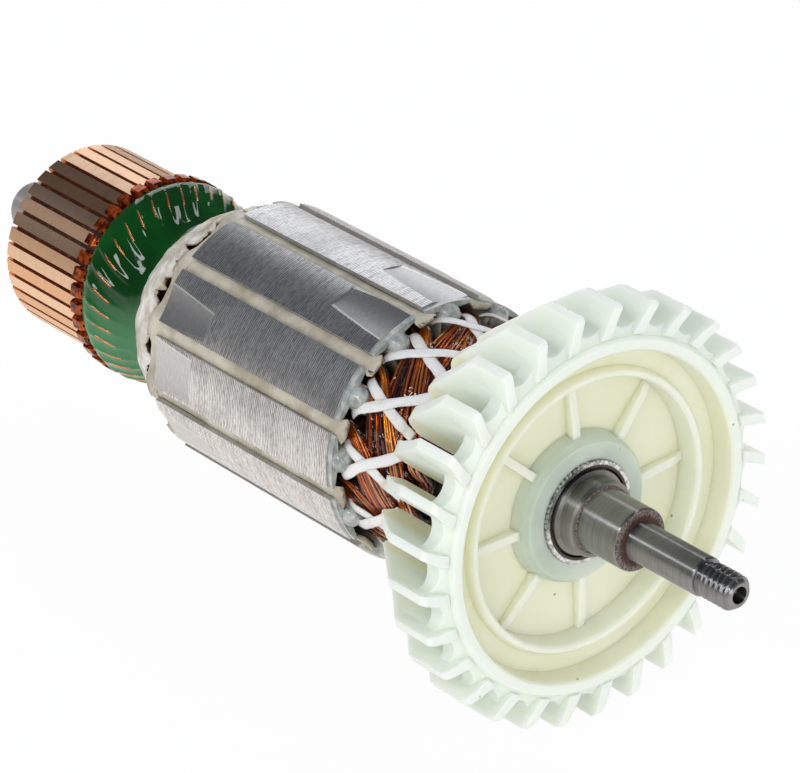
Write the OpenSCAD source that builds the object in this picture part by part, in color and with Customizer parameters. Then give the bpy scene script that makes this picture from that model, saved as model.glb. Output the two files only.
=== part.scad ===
// Wound armature of a large angle grinder's motor.
// The shaft runs along X, with the threaded drive end towards +X. The origin is on the
// shaft's axis, at the shoulder that the drive-end bearing is pressed against.

/* [Shaft] */
// Diameter of the drive-end bearing seat
bearing_seat_d = 12; // [10:0.5:13]
// Length of the drive-end bearing seat
bearing_seat_len = 10.1; // [8:0.1:14]
// Diameter of the pinion seat
pinion_seat_d = 7.4; // [7:0.1:9]
// Length of the pinion seat
pinion_seat_len = 17.2; // [10:0.1:24]
// Plain diameter of the threaded end
thread_d = 6.8; // [5.4:0.1:6.9]
// Length of the threaded end, with its relief groove
thread_len = 8.3; // [6:0.1:14]
// Diameter of the centre hole in the threaded end
centre_hole_d = 3.4; // [2:0.1:3.4]
// Diameter of the shaft through the stack and the fan
shaft_d = 14; // [13.5:0.1:15]
// Diameter of the neck between the commutator and the rear bearing seat
rear_neck_d = 11.5; // [11.5:0.5:13]
// Length of that neck beyond the commutator
rear_neck_len = 8.4; // [4:0.1:14]
// Diameter of the rear bearing seat
rear_seat_d = 10; // [8:0.5:11]
// Length of the rear bearing seat
rear_seat_len = 11; // [8:0.5:14]

/* [Stack] */
// Outer diameter of the lamination stack
stack_d = 52; // [50:0.5:60]
// Length of the lamination stack
stack_len = 52.8; // [40:0.1:70]
// Distance from the bearing shoulder back to the stack
stack_to_seat = 45.75; // [43:0.05:60]
// Width of each tooth's body
tooth_w = 4.4; // [4:0.1:5]
// Width of each slot's mouth
slot_mouth = 2.8; // [2:0.1:3.4]
// Thickness of the tooth tip at the slot's mouth
tooth_lip = 1.1; // [0.8:0.1:1.4]
// Angle of the first tooth's middle from +Y towards +Z
tooth_angle = 26.2; // [0:0.1:30]
// Depth of the balancing cuts at the end of a tooth
balance_depth = 0.7; // [0.5:0.05:0.9]

/* [Insulation] */
// Wall of the plastic sleeve between shaft and stack
sleeve_wall = 2; // [1.5:0.1:2.5]
// Thickness of the slot paper
paper_t = 0.3; // [0.2:0.05:0.4]
// How far the slot paper stands out of the stack
paper_out = 2; // [1:0.1:2.4]
// Thickness of the end plate at the drive end
end_plate_t = 1.2; // [0.8:0.1:2]
// Thickness of the end plate at the commutator end
rear_plate_t = 2.8; // [1.5:0.1:2.9]
// Diameter of the round heads on the drive-end plate
plate_head_d = 4.5; // [3:0.1:4.5]

/* [Winding] */
// Height of the coil head at the drive end
front_head = 17.5; // [17:0.5:20]
// Height of the coil head at the commutator end
rear_head = 13.2; // [13:0.1:15]
// Width of a coil's bundle in the outer layer
bundle_w = 3.4; // [2.8:0.1:3.5]
// Thickness of a coil's bundle in the radial direction
bundle_t = 3.6; // [3:0.1:4]
// Width of the lacing tape
tape_w = 2.2; // [1:0.1:2.6]
// Thickness of the lacing tape
tape_t = 0.6; // [0.3:0.1:0.8]

/* [Commutator] */
// Diameter of the brush track
commutator_d = 38; // [36:0.5:42]
// Length of the brush track
track_len = 23; // [16:0.1:28]
// Number of bars
bar_count = 36; // [24:12:36]
// Width of the slots between the bars
bar_gap = 0.8; // [0.6:0.1:1.2]
// Depth of the undercut between the bars
undercut = 1.3; // [0.6:0.1:2]
// Length of the riser behind the brush track
riser_len = 4.2; // [3.6:0.1:6]
// Height of the hooks over the brush track
hook_h = 1.6; // [1.4:0.1:2]
// Distance from the stack to the back of the risers
riser_to_stack = 30.6; // [30:0.1:36]
// Diameter of the coil leads
lead_d = 1; // [0.6:0.1:1.1]

/* [Fan] */
// Diameter over the blade tips
fan_d = 81; // [78:0.5:90]
// Number of blades
blade_count = 29; // [19:1:31]
// Length of the blades at their roots
blade_len = 23.8; // [18:0.1:24]
// Length of the blades at their tips
tip_len = 9.2; // [6:0.1:12]
// Outer diameter of the raised rim
rim_d = 68.4; // [66:0.2:69]
// Outer diameter of the low ring in the dish
low_ring_d = 54.2; // [50:0.2:56]
// Outer diameter of the hub
hub_d = 27.8; // [26:0.2:32]
// Length of the hub
hub_len = 15.8; // [12:0.1:17]
// Thickness of the disc
disc_t = 2.4; // [2:0.1:3]
// Number of ribs in the dish
rib_count = 8; // [6:1:12]
// Outer diameter of the knurled insert
insert_d = 19.8; // [19:0.1:22]
// Outer diameter of the spacer collar
collar_d = 14.6; // [14:0.1:15]
// Length of the spacer collar
collar_len = 6; // [5:0.1:7]

/* [Hidden] */
$fn = 96;

// A full turn shared by the slots, and the number of slots from one side of a coil to the other
slots = 12;
slot_pitch = 360 / slots;
coil_span = 5 * slot_pitch;
fit_gap = 0.05;

// Places along the shaft
stack_front = -stack_to_seat;
stack_rear = stack_front - stack_len;
riser_rear = stack_rear - riser_to_stack;
track_rear = riser_rear - riser_len;
commutator_end = track_rear - track_len;
rear_shoulder = commutator_end - rear_neck_len;
shaft_rear = rear_shoulder - rear_seat_len;
thread_start = bearing_seat_len + pinion_seat_len;
shaft_front = thread_start + thread_len;
tip_chamfer = 1.1;
collar_step = 0.5;
rear_chamfer = 1.2;

// Radii through the stack
stack_r = stack_d / 2;
sleeve_r = shaft_d / 2 + sleeve_wall;
slot_bottom = sleeve_r + 3.8;
lip_r = stack_r - tooth_lip;
shoulder_r = lip_r - 0.9;
wedge_t = 0.8;
liner_r = shoulder_r - wedge_t - fit_gap;

// The two layers of coil sides, measured to the middle of each bundle
outer_layer = liner_r - paper_t - fit_gap - bundle_t / 2;
inner_layer = outer_layer - bundle_t - 0.7;
inner_bundle_w = 0.62 * bundle_w;
head_exit = 3;

// Half the width of a slot between parallel-sided teeth, at a radius
function slot_half(r) = r * tan(slot_pitch / 2) - tooth_w / 2 / cos(slot_pitch / 2);

// A point in the shaft's frame from a place along it, an angle and a radius
function on_shaft(x, a, r) = [x, r * cos(a), r * sin(a)];
function unit(v) = v / norm(v);

// Puts a shape drawn about +Z along the shaft, with its own x along Y and its y along Z
module along_shaft(x = 0) translate([x, 0, 0]) rotate([90, 0, 90]) children();

// A turned solid from [radius, place along the shaft] points
module turned(outline) along_shaft() rotate_extrude() polygon(outline);

// Repeats a piece round the shaft
module round_shaft(count, first = 0)
    for (i = [0 : count - 1]) rotate([first + i * 360 / count, 0, 0]) children();

// Shaft, with its seats, thread blank and centre hole
module shaft() color("#8c8e90") difference() {
    turned([
        [0, shaft_rear],
        [rear_seat_d / 2 - rear_chamfer, shaft_rear],
        [rear_seat_d / 2, shaft_rear + rear_chamfer],
        [rear_seat_d / 2, rear_shoulder],
        [rear_neck_d / 2, rear_shoulder],
        [rear_neck_d / 2, commutator_end + 2],
        [shaft_d / 2, commutator_end + 2],
        [shaft_d / 2, -collar_len],
        [bearing_seat_d / 2 + collar_step, -collar_len],
        [bearing_seat_d / 2 + collar_step, 0],
        [bearing_seat_d / 2, 0],
        [bearing_seat_d / 2, bearing_seat_len - 0.4],
        [bearing_seat_d / 2 - 0.4, bearing_seat_len],
        [pinion_seat_d / 2, bearing_seat_len],
        [pinion_seat_d / 2, thread_start - 0.3],
        [pinion_seat_d / 2 - 0.3, thread_start],
        [thread_d / 2 - 0.55, thread_start],
        [thread_d / 2 - 0.55, thread_start + 1.1],
        [thread_d / 2, thread_start + 1.6],
        [thread_d / 2, shaft_front - tip_chamfer],
        [thread_d / 2 - tip_chamfer, shaft_front],
        [0, shaft_front]]);
    turned([
        [0, shaft_front + 1],
        [centre_hole_d / 2, shaft_front + 1],
        [centre_hole_d / 2, shaft_front - 2.2],
        [0, shaft_front - 2.2 - centre_hole_d / 2]]);
}

// Spacer collar, flush with the shoulder that the drive-end bearing is pressed against
module spacer_collar() color("#77777a") turned([
    [bearing_seat_d / 2 + collar_step, -collar_len],
    [collar_d / 2 + 0.8, -collar_len],
    [collar_d / 2 + 0.8, -collar_len + 2.6],
    [collar_d / 2, -collar_len + 2.9],
    [collar_d / 2, -0.4],
    [collar_d / 2 - 0.4, 0],
    [bearing_seat_d / 2 + collar_step, 0]]);

// Moulded sleeve that insulates the shaft from the stack and the coils
sleeve_front = stack_front + front_head + bundle_w / 2 + 1.4;
module shaft_sleeve() color("#d9d4bf") turned([
    [shaft_d / 2, riser_rear],
    [sleeve_r, riser_rear],
    [sleeve_r, sleeve_front - 0.5],
    [sleeve_r - 0.5, sleeve_front],
    [shaft_d / 2, sleeve_front]]);

// Section of one slot about +X: a tapered slot with a round bottom
module slot_section(inset = 0, open = true) {
    bottom = slot_bottom + 1.2;
    translate([bottom, 0]) circle(slot_half(bottom) - inset);
    half_b = slot_half(bottom) - inset;
    half_t = slot_half(shoulder_r) - inset;
    polygon(concat(
        [[bottom, -half_b], [shoulder_r - inset, -half_t]],
        open ? [[lip_r, -slot_mouth / 2], [stack_r + 1, -slot_mouth / 2],
                [stack_r + 1, slot_mouth / 2], [lip_r, slot_mouth / 2]] : [],
        [[shoulder_r - inset, half_t], [bottom, half_b]]));
}

slot_angle = tooth_angle + slot_pitch / 2;

// Scoop left by a grinding wheel at the end of a tooth, where the rotor was balanced. The wheel's
// axis runs along the shaft, tilted so that the cut is deepest at the end of the stack.
wheel_d = 52;
wheel_tilt = 1.5;
module balance_cut(tooth, end_x, reach, lean, extra = 0) {
    side = end_x > (stack_front + stack_rear) / 2 ? 1 : -1;
    rotate([tooth_angle + tooth * slot_pitch + lean, 0, 0])
        translate([end_x + side, stack_r - balance_depth - extra + wheel_d / 2, 0])
            rotate([0, 0, -side * wheel_tilt]) rotate([0, -side * 90, 0])
                cylinder(d = wheel_d, h = reach + 1);
}

// Stack of laminations: twelve teeth and slots, with the balancing cuts
module lamination_stack() color("#6e7076") difference() {
    along_shaft(stack_rear) linear_extrude(stack_len) difference() {
        circle(stack_r);
        circle(sleeve_r);
        for (i = [0 : slots - 1]) rotate(slot_angle + i * slot_pitch) slot_section();
    }
    balance_cut(1, stack_front, 16, -4);
    balance_cut(2, stack_front, 16, -3);
    balance_cut(3, stack_front, 15, -4);
    balance_cut(4, stack_rear, 13, 4);
    balance_cut(5, stack_rear, 11, 0, 0.4);
    balance_cut(6, stack_rear, 13, 3);
}

// Plate on one face of the stack, cut back from the slots
module end_plate(x, thickness) along_shaft(x) linear_extrude(thickness) difference() {
    circle(stack_r - 0.4);
    circle(sleeve_r);
    for (i = [0 : slots - 1]) rotate(slot_angle + i * slot_pitch) slot_section();
}

// Drive-end plate, with a round head at the end of each tooth
head_centre = lip_r - plate_head_d / 2 + 0.6;
module drive_end_plate() color("#d8cfb4") {
    end_plate(stack_front, end_plate_t);
    round_shaft(slots, tooth_angle)
        translate([stack_front + end_plate_t - 0.2, head_centre, 0]) turned(concat(
            [[0, 0]],
            [for (a = [0 : 15 : 90]) [plate_head_d / 2 * cos(a), 0.2 + plate_head_d / 2 * sin(a)]]));
}

// Plate at the commutator end
module commutator_end_plate() color("#d8cfb4") difference() {
    end_plate(stack_rear - rear_plate_t, rear_plate_t);
    turned([
        [stack_r - 2.4, stack_rear - rear_plate_t - 1],
        [stack_r + 1, stack_rear - rear_plate_t - 1],
        [stack_r + 1, stack_rear - 0.8],
        [stack_r - 0.4, stack_rear - 0.8],
        [stack_r - 0.9, stack_rear - 1.9],
        [stack_r - 2.4, stack_rear - rear_plate_t]]);
}

// Folded paper that lines one slot
module slot_liner(i) color("#cfc4a0")
    rotate([slot_angle + (i - 1) * slot_pitch, 0, 0])
        along_shaft(stack_rear - paper_out) linear_extrude(stack_len + 2 * paper_out)
            intersection() {
                difference() {
                    slot_section(fit_gap, false);
                    slot_section(fit_gap + paper_t, false);
                }
                translate([0, -stack_r]) square([liner_r, stack_d]);
            }

// Strip that closes one slot under the tooth tips
module slot_wedge(i) color("#c9c0a2")
    rotate([slot_angle + (i - 1) * slot_pitch, 0, 0])
        along_shaft(stack_rear - 1.2) linear_extrude(stack_len + 1.2 + end_plate_t)
            polygon([
                [liner_r + fit_gap, -slot_half(liner_r) + fit_gap * 2],
                [shoulder_r, -slot_half(shoulder_r) + fit_gap * 2],
                [lip_r, -slot_mouth / 2 + fit_gap],
                [lip_r + 0.2, -slot_mouth / 2 + fit_gap],
                [lip_r + 0.2, slot_mouth / 2 - fit_gap],
                [lip_r, slot_mouth / 2 - fit_gap],
                [shoulder_r, slot_half(shoulder_r) - fit_gap * 2],
                [liner_r + fit_gap, slot_half(liner_r) - fit_gap * 2]]);

// Stations [x, angle, radius, width] along one coil's head. The outer side leaves its slot,
// slants round the shaft to the nose, drops a layer and slants on to the other slot.
arm_steps = 6;
function head_arm(face, dir, height, taper) = [
    for (k = [0 : arm_steps]) let (u = k / (arm_steps + 0.6))
        [face + dir * (head_exit + (height - head_exit) * u), coil_span / 2 * u,
         outer_layer - taper * u, bundle_w]];
function head_return(face, dir, height, taper) = [
    for (k = [arm_steps : -1 : 0]) let (u = k / (arm_steps + 0.6))
        [face + dir * (head_exit + (height - head_exit) * u), coil_span * (1 - u / 2),
         inner_layer - taper * u,
         inner_bundle_w + (bundle_w - inner_bundle_w) * min(1, 2 * u)]];
function head_nose(face, dir, height, taper) = [
    for (side = [-1, 1]) [face + dir * height, coil_span / 2 + side * 2.5,
        (outer_layer + inner_layer) / 2 - taper - side * 0.9, bundle_w]];
front_taper = 2.3;
rear_taper = 4.2;
function coil_stations() =
    let (reverse_of = function (list) [for (k = [len(list) - 1 : -1 : 0]) list[k]])
    concat(
        head_arm(stack_front, 1, front_head, front_taper),
        head_nose(stack_front, 1, front_head, front_taper),
        head_return(stack_front, 1, front_head, front_taper),
        reverse_of(head_return(stack_rear, -1, rear_head, rear_taper)),
        reverse_of(head_nose(stack_rear, -1, rear_head, rear_taper)),
        reverse_of(head_arm(stack_rear, -1, rear_head, rear_taper)));

// Sweeps an eight-sided section along a closed loop of stations, one side kept towards the shaft
section_corners = [[1, 0.5], [0.5, 1], [-0.5, 1], [-1, 0.5], [-1, -0.5], [-0.5, -1], [0.5, -1], [1, -0.5]];
module closed_sweep(stations, thickness) {
    count = len(stations);
    sides = len(section_corners);
    centres = [for (s = stations) on_shaft(s[0], s[1], s[2])];
    points = [for (i = [0 : count - 1])
        let (along = unit(centres[(i + 1) % count] - centres[(i + count - 1) % count]),
             outward = on_shaft(0, stations[i][1], 1),
             up = unit(outward - (outward * along) * along),
             across = cross(along, up))
        for (c = section_corners)
            centres[i] + across * c[0] * stations[i][3] / 2 + up * c[1] * thickness / 2];
    faces = [for (i = [0 : count - 1], j = [0 : sides - 1])
        let (a = i * sides + j, b = i * sides + (j + 1) % sides,
             c = ((i + 1) % count) * sides + j, d = ((i + 1) % count) * sides + (j + 1) % sides)
        each [[a, b, c], [b, d, c]]];
    polyhedron(points, faces);
}

// One coil, as a bundle of turns through two slots
module coil(i) color("#8a4a1e")
    rotate([slot_angle + (i - 1) * slot_pitch, 0, 0]) closed_sweep(coil_stations(), bundle_t);

// Tape laced over the drive-end coil head, in two layers that cross
tape_steps = 8;
tape_turns = [14, -24];
tape_offsets = [-10, 9.5];
tape_start = stack_front + 2.7;
tape_end = stack_front + front_head - 1.5;
tape_clear = 0.6;
function head_surface(x) = outer_layer + bundle_t / 2 + tape_clear
    - front_taper * (x - stack_front) / front_head;
module tape_strip(turn, layer) {
    points = [for (k = [0 : tape_steps])
        let (u = k / tape_steps, x = tape_start + (tape_end - tape_start) * u,
             a = turn * u, r = head_surface(x) + layer * (tape_t + 0.1),
             half = tape_w / 2,
             run = tape_end - tape_start, round_run = turn * PI / 180 * r,
             across_x = -round_run / norm([run, round_run]) * half,
             across_a = run / norm([run, round_run]) * half / r * 180 / PI)
        each [on_shaft(x + across_x, a + across_a, r), on_shaft(x + across_x, a + across_a, r + tape_t),
              on_shaft(x - across_x, a - across_a, r + tape_t), on_shaft(x - across_x, a - across_a, r)]];
    last = tape_steps * 4;
    polyhedron(points, concat(
        [[0, 1, 2], [0, 2, 3], [last + 2, last + 1, last], [last + 3, last + 2, last]],
        [for (k = [0 : tape_steps - 1], j = [0 : 3])
            let (a = k * 4 + j, b = k * 4 + (j + 1) % 4)
            each [[a, a + 4, b], [b, a + 4, b + 4]]]));
}
module lacing_tape() color("#e4e0d8") {
    for (layer = [0, 1])
        round_shaft(slots, tooth_angle + tape_offsets[layer]) tape_strip(tape_turns[layer], layer);
}

// White binding round the coil head at the commutator end
binding_t = 0.7;
binding_rear = stack_rear - rear_head - bundle_w / 2 - 0.3;
binding_front = stack_rear - rear_plate_t - 2.9;
rear_waist = outer_layer - rear_taper + bundle_t / 2 + 1.1;
binding_drop = 2.2;
module head_binding() color("#dfdcd2") {
    start_r = outer_layer + bundle_t / 2 + 0.9
        - rear_taper * (rear_plate_t + 2.9 - head_exit) / (rear_head - head_exit);
    turned([
        [start_r, binding_front],
        [start_r + binding_t, binding_front],
        [rear_waist + binding_t, stack_rear - rear_head + 1],
        [rear_waist - binding_drop + binding_t, binding_rear],
        [rear_waist - binding_drop, binding_rear],
        [rear_waist, stack_rear - rear_head + 1]]);
}

// One commutator bar about +X, from its foot in the mould to its hook
bar_pitch = 360 / bar_count;
commutator_r = commutator_d / 2;
bar_foot = commutator_r - 6;
hook_w = 2.1;
hook_r = commutator_r + hook_h;
bar_angle = 2.3;
module bar_section(top) polygon([
    [bar_foot, -bar_foot * tan(bar_pitch / 2) + bar_gap / 2],
    [top, -top * tan(bar_pitch / 2) + bar_gap / 2],
    [top, top * tan(bar_pitch / 2) - bar_gap / 2],
    [bar_foot, bar_foot * tan(bar_pitch / 2) - bar_gap / 2]]);
// Commutator bars, turned true on the track and chamfered at the free end
module commutator_bars() color("#c98a5c") difference() {
    round_shaft(bar_count, bar_angle) bar();
    turned([
        [commutator_r - 0.6, commutator_end - 1],
        [commutator_r + 1, commutator_end - 1],
        [commutator_r + 1, commutator_end + 0.6],
        [commutator_r, commutator_end + 0.6],
        [commutator_r - 0.6, commutator_end]]);
    round_shaft(bar_count, bar_angle)
        along_shaft(track_rear + 1.8) translate([lead_hook_r, 0]) cylinder(d = lead_d + 2 * fit_gap, h = riser_len);
}
module bar() {
    along_shaft(commutator_end) linear_extrude(track_len + riser_len) bar_section(commutator_r);
    linear_extrude(hook_w, center = true) polygon([
        [track_rear + 0.4, commutator_r - 0.5],
        [track_rear + 0.4, commutator_r + 0.5],
        [track_rear + 1.1, hook_r],
        [riser_rear - 0.8, hook_r],
        [riser_rear, commutator_r + 0.9],
        [riser_rear, commutator_r - 0.5]]);
}

// Moulded body that holds the bars, with fins that stop short of the track
module commutator_mould() color("#2b2320") difference() {
    along_shaft(commutator_end + 0.8) difference() {
        cylinder(r = commutator_r - undercut, h = track_len + riser_len - 0.8);
        translate([0, 0, -1]) cylinder(d = shaft_d, h = track_len + riser_len + 2);
    }
    round_shaft(bar_count, bar_angle)
        along_shaft(commutator_end) linear_extrude(track_len + riser_len) bar_section(commutator_r);
}

// Outline of the resin cap as [radius, distance behind the risers] points: below the leads it
// rolls down from the risers to a waist, and it flares again to meet the binding
ring_len = 1.8;
ring_r = commutator_r + 1.5;
lead_bed = [
    [commutator_r, ring_len],
    [commutator_r - 0.15, 3.6],
    [commutator_r - 0.75, 6.2],
    [commutator_r - 1.75, 8.2]];
waist_r = rear_waist - 3.4;
waist_x = binding_rear - 2.6;

// One lead, from its hook through the resin's ring and down over the resin's shoulder
lead_turn = 11;
lead_hook_r = commutator_r + lead_d / 2 + 0.15;
function lead_path() =
    let (far = lead_bed[3][1], rise = lead_d / 2 + fit_gap)
    concat([[track_rear + 1.9, 0, lead_hook_r], [riser_rear + ring_len - 0.1, 0, lead_hook_r]],
        [for (k = [1 : 3]) [riser_rear + lead_bed[k][1],
            lead_turn * (lead_bed[k][1] - ring_len) / (far - ring_len), lead_bed[k][0] + rise]]);
lead_sides = 6;
module coil_leads() color("#a8561f") round_shaft(bar_count, bar_angle) {
    path = lead_path();
    count = len(path);
    centres = [for (s = path) on_shaft(s[0], s[1], s[2])];
    points = [for (i = [0 : count - 1])
        let (along = unit(centres[min(i + 1, count - 1)] - centres[max(i - 1, 0)]),
             outward = on_shaft(0, path[i][1], 1),
             up = unit(outward - (outward * along) * along),
             across = cross(along, up))
        for (j = [0 : lead_sides - 1])
            centres[i] + (across * cos(j * 360 / lead_sides) + up * sin(j * 360 / lead_sides)) * lead_d / 2];
    last = (count - 1) * lead_sides;
    polyhedron(points, concat(
        [for (j = [1 : lead_sides - 2]) [0, j + 1, j]],
        [for (j = [1 : lead_sides - 2]) [last, last + j, last + j + 1]],
        [for (i = [0 : count - 2], j = [0 : lead_sides - 1])
            let (a = i * lead_sides + j, b = i * lead_sides + (j + 1) % lead_sides)
            each [[a, b, a + lead_sides], [b, b + lead_sides, a + lead_sides]]]));
}

// Green resin cast between the commutator and the coil head, with a ring that grips the leads
module resin_cap() color("#0a4a1c") {
    along_shaft(riser_rear) linear_extrude(ring_len) difference() {
        circle(ring_r);
        circle(sleeve_r);
        for (i = [0 : bar_count - 1]) rotate(bar_angle + i * bar_pitch)
            translate([lead_hook_r, 0]) circle(lead_d / 2 + fit_gap);
    }
    turned(concat(
        [[sleeve_r, riser_rear + ring_len - 0.01]],
        [for (p = lead_bed) [p[0], riser_rear + p[1] - (p[1] == ring_len ? 0.01 : 0)]],
        [[waist_r + 0.5, waist_x - 1.6],
         [waist_r, waist_x],
         [waist_r + 0.3, waist_x + 1.2],
         [rear_waist - binding_drop + binding_t, binding_rear],
         [sleeve_r, binding_rear]]));
}

// Places and radii of the fan
fan_front = -0.3;
tip_front = -0.7;
fan_r = fan_d / 2;
rim_r = rim_d / 2;
rim_w = 2.7;
disc_edge = rim_r + 1.4;
edge_rear = -5.2;
low_ring_r = low_ring_d / 2;
low_ring_front = -3.2;
low_ring_w = 1.5;
hub_front = -4.2;
hub_rear = hub_front - hub_len;
floor_front = -8;
dish_front = -4.9;
blade_root = 26;
blade_pitch = 360 / blade_count;
blade_first = 8.7;

// Blade section: the middle line leans back as it goes out, and the wall thins to the tip
function blade_mid(r) = 1.6 + 0.66 * (fan_r - r);
function blade_half(r) = 0.95 + 0.035 * (fan_r - r);
function blade_side(r, side) =
    let (a = blade_mid(r) + side * asin(blade_half(r) / r)) [r * cos(a), r * sin(a)];
blade_samples = 4;
function blade_radius(k, inner) = inner + (fan_r + 1 - inner) * k / blade_samples;
module blade_section(inner) polygon(concat(
    [for (k = [0 : blade_samples]) blade_side(blade_radius(k, inner), -1)],
    [for (k = [blade_samples : -1 : 0]) blade_side(blade_radius(k, inner), 1)]));

// Gap between two blades outside the disc, with a round bottom from one blade to the other
gap_depth = 2;
module gap_section() {
    middle = disc_edge + gap_depth;
    centre = blade_mid(middle) - blade_pitch / 2;
    half = blade_pitch / 2 - asin(blade_half(middle) / middle);
    polygon(concat(
        [for (t = [0 : 15 : 180]) let (a = centre + half * cos(t), r = middle - gap_depth * sin(t))
            [r * cos(a), r * sin(a)]],
        [for (k = [1 : 2]) let (p = blade_side(middle + (fan_r + 1 - middle) * k / 2, 1))
            [p[0] * cos(blade_pitch) + p[1] * sin(blade_pitch),
             p[1] * cos(blade_pitch) - p[0] * sin(blade_pitch)]],
        [for (k = [2 : -1 : 1]) blade_side(middle + (fan_r + 1 - middle) * k / 2, -1)]));
}

// Fan: a dished disc with a hub, two rings and ribs, and blades that stand behind it
module fan_body() turned([
    [insert_d / 2, hub_rear],
    [hub_d / 2 - 0.9, hub_rear],
    [hub_d / 2, floor_front - disc_t - 2],
    [hub_d / 2 + 2, floor_front - disc_t],
    [low_ring_r - 1, floor_front - disc_t],
    [low_ring_r + 2.6, dish_front - disc_t],
    [disc_edge - 0.6, edge_rear - 0.6],
    [disc_edge - 0.3, edge_rear],
    [disc_edge - 0.3, tip_front - 1.2],
    [rim_r, fan_front - 0.9],
    [rim_r, fan_front - 0.6],
    [rim_r - 0.6, fan_front],
    [rim_r - rim_w + 0.4, fan_front],
    [rim_r - rim_w, fan_front - 0.4],
    [rim_r - rim_w - 0.5, dish_front],
    [low_ring_r + 0.3, dish_front],
    [low_ring_r, low_ring_front - 0.4],
    [low_ring_r - 0.4, low_ring_front],
    [low_ring_r - low_ring_w + 0.4, low_ring_front],
    [low_ring_r - low_ring_w, low_ring_front - 0.4],
    [low_ring_r - low_ring_w - 0.3, floor_front],
    [hub_d / 2 + 0.5, floor_front],
    [hub_d / 2, hub_front - 0.9],
    [hub_d / 2 - 0.8, hub_front],
    [insert_d / 2, hub_front]]);
module fan_ribs() intersection() {
    round_shaft(rib_count, 4) translate([floor_front - 1, 0, -0.8]) cube([8, low_ring_r - 1, 1.6]);
    turned([
        [hub_d / 2 - 1, floor_front - 1],
        [low_ring_r - 1, floor_front - 1],
        [low_ring_r - 1, floor_front + 0.6],
        [low_ring_r - 4, floor_front + 1.4],
        [hub_d / 2 - 1, hub_front - 1.6]]);
}
module fan_blades() intersection() {
    along_shaft(tip_front - blade_len - 1) linear_extrude(blade_len + 2)
        for (i = [0 : blade_count - 1]) rotate(blade_first + i * blade_pitch) blade_section(blade_root - 1);
    turned([
        [blade_root, dish_front - disc_t - 1.6],
        [blade_root, tip_front - blade_len + 0.6],
        [blade_root + 0.6, tip_front - blade_len],
        [blade_root + 3.6, tip_front - blade_len],
        [blade_root + 4.6, tip_front - blade_len + 0.5],
        [fan_r, tip_front - tip_len],
        [fan_r, tip_front - 0.6],
        [fan_r - 0.6, tip_front],
        [disc_edge - 1, tip_front],
        [disc_edge - 1, edge_rear + 1],
        [low_ring_r + 3, dish_front - disc_t + 0.4]]);
}
module fan_edge() intersection() {
    along_shaft(edge_rear - 1) linear_extrude(8) difference() {
        circle(fan_r);
        for (i = [0 : blade_count - 1]) rotate(blade_first + i * blade_pitch) gap_section();
    }
    turned([
        [rim_r - 1, edge_rear],
        [disc_edge + gap_depth, edge_rear],
        [disc_edge + gap_depth, tip_front - 2.2],
        [rim_r - 0.4, tip_front - 0.4],
        [rim_r - 1, tip_front - 0.4]]);
}
module fan() color("#dfe5d6") {
    fan_body();
    fan_ribs();
    fan_blades();
    fan_edge();
}

// Knurled metal insert moulded into the fan's hub and pressed on the shaft
knurl_count = 60;
insert_front = hub_front + 0.65;
module fan_insert() color("#c4c6c8") difference() {
    along_shaft(hub_rear) linear_extrude(insert_front - hub_rear) polygon([
        for (k = [0 : 2 * knurl_count - 1])
            let (r = insert_d / 2 - (k % 2 == 0 ? 0 : 0.3), a = 180 * k / knurl_count)
            [r * cos(a), r * sin(a)]]);
    along_shaft(hub_rear - 1) cylinder(d = shaft_d, h = hub_len + 4);
    along_shaft(-collar_len) cylinder(d = insert_d - 2.6, h = collar_len);
}

shaft();
spacer_collar();
shaft_sleeve();
lamination_stack();
drive_end_plate();
commutator_end_plate();
lacing_tape();
head_binding();
commutator_bars();
commutator_mould();
coil_leads();
resin_cap();
fan();
fan_insert();
for (i = [1 : slots]) {
    slot_liner(i);
    slot_wedge(i);
    coil(i);
}
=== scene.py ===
"""Looks of a wound motor armature: shaft, core, winding, commutator, resin and fan.

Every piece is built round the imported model, in the same frame. The shaft lies along X, and an
angle round it is counted in degrees from +Y towards +Z. Sizes are in millimetres, and become
metres where a piece is placed or a finish reads them.
"""

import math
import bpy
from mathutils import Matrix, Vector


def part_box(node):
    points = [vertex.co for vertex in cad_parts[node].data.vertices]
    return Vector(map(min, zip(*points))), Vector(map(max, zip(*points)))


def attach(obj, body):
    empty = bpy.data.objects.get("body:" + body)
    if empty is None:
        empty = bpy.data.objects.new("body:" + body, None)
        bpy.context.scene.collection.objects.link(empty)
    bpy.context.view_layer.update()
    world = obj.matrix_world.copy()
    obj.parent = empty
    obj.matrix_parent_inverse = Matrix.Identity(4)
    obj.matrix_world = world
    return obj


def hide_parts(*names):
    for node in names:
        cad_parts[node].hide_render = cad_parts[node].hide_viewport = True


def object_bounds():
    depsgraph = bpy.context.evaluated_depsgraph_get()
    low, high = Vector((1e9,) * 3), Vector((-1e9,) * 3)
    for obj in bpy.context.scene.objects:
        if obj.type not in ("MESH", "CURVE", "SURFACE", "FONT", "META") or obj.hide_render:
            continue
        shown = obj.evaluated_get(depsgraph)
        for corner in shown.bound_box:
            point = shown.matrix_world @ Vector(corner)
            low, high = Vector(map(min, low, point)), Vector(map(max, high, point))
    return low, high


bl_info = {
    "name": "Motor armature looks",
    "version": (1, 0, 0),
    "blender": (4, 5, 0),
    "location": "View3D > Sidebar > Armature",
    "description": "Builds the finished surfaces of a wound motor armature",
    "category": "Object",
}

from functools import partial
from types import SimpleNamespace

import bmesh
import bpy
import numpy as np
from mathutils import Vector

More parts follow.
